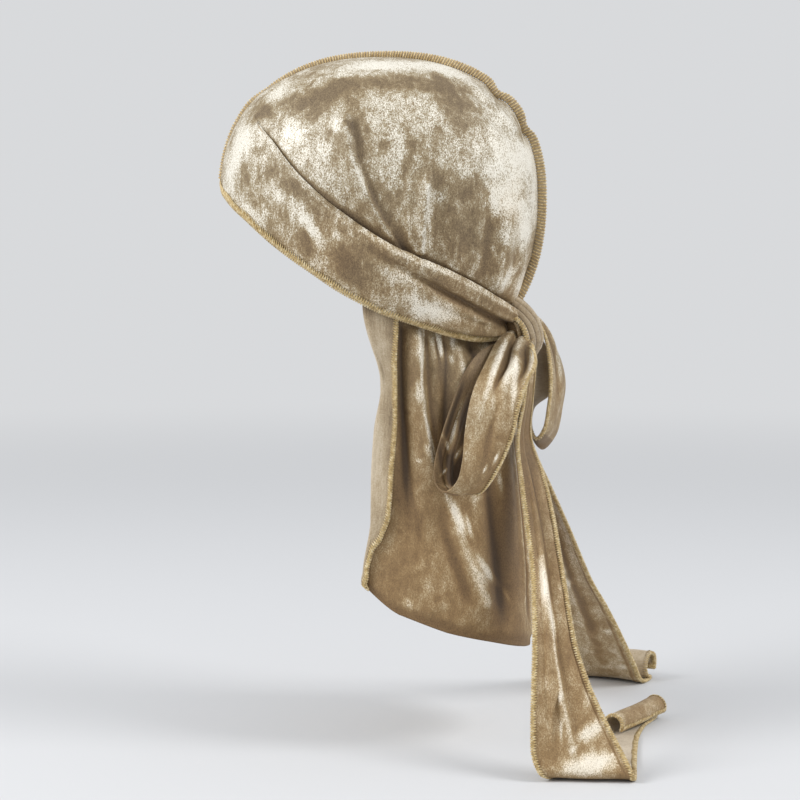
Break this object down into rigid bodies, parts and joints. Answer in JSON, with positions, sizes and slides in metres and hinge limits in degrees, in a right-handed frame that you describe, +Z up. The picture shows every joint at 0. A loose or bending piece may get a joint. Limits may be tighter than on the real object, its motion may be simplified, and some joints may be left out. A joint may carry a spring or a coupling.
{
  "type": "durag",
  "caption": "Tied velvet head wrap in its worn form: seamed crown, brow band knotted at the nape in a bow with long ends, and a neck flap.",
  "frame": {"origin": "mount head_seat, the inside of the crown at the top of the head", "axes": "+Z up, the wearer faces -Y, +X is the wearer's left, where the bow's nearer loop and the longer end hang"},
  "size_m": [0.313, 0.2802, 0.4205],
  "materials": {
    "velvet": "champagne gold crushed velvet, matte knit on its wrong side",
    "overlock_thread": "glossy golden overlock thread"
  },
  "bodies": {
    "root": {"crown_left": "velvet", "crown_right": "velvet", "centre_seam": "overlock_thread", "band_left": "velvet", "band_right": "velvet", "knot": "velvet", "flap_left": "velvet", "flap_right": "velvet", "loop_left": "velvet", "loop_right": "velvet", "tail_left": "velvet", "tail_right": "velvet"}
  },
  "joints": []
}
